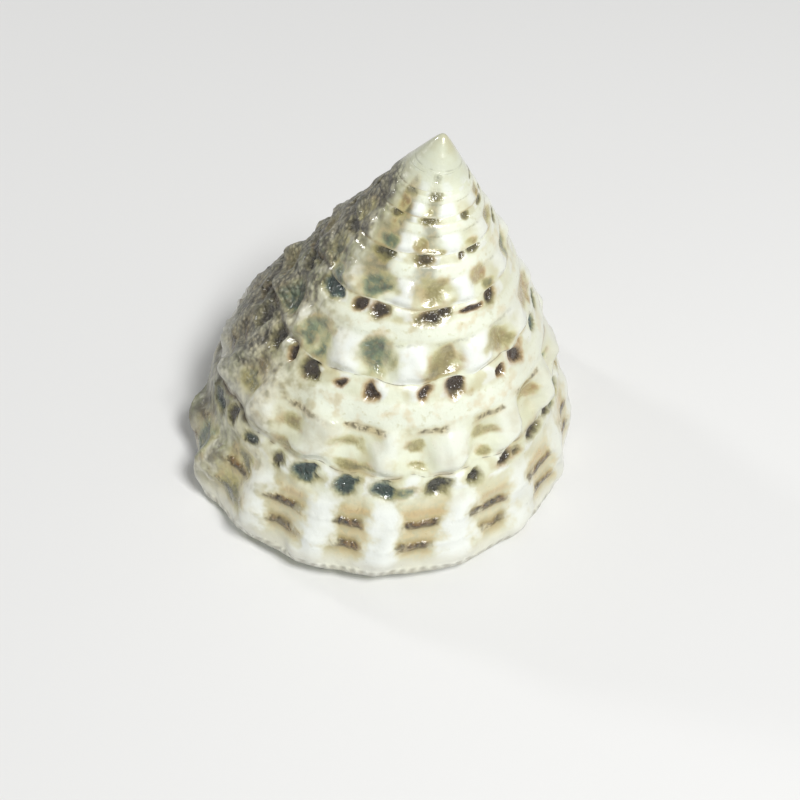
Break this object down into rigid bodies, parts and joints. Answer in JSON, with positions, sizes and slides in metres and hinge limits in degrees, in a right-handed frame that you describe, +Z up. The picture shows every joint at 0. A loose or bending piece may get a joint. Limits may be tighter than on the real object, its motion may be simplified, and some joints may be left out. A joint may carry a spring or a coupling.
{
  "type": "top shell",
  "caption": "Conical spiral sea-snail shell with knobbed, pitted whorls, an open mouth under its last whorl and a flattish base that it rests on.",
  "frame": {"origin": "middle of the bounding box, on the surface the shell rests on", "axes": "+Z up as the shell rests; the spire's tip leans towards +X and +Y, and the mouth is on the -X side, opening towards +Y"},
  "size_m": [0.0362, 0.0368, 0.0341],
  "materials": {
    "shell": "glossy cream shell with dark green and brown spots, pearly inside"
  },
  "bodies": {
    "root": {"shell": "shell"}
  },
  "joints": []
}
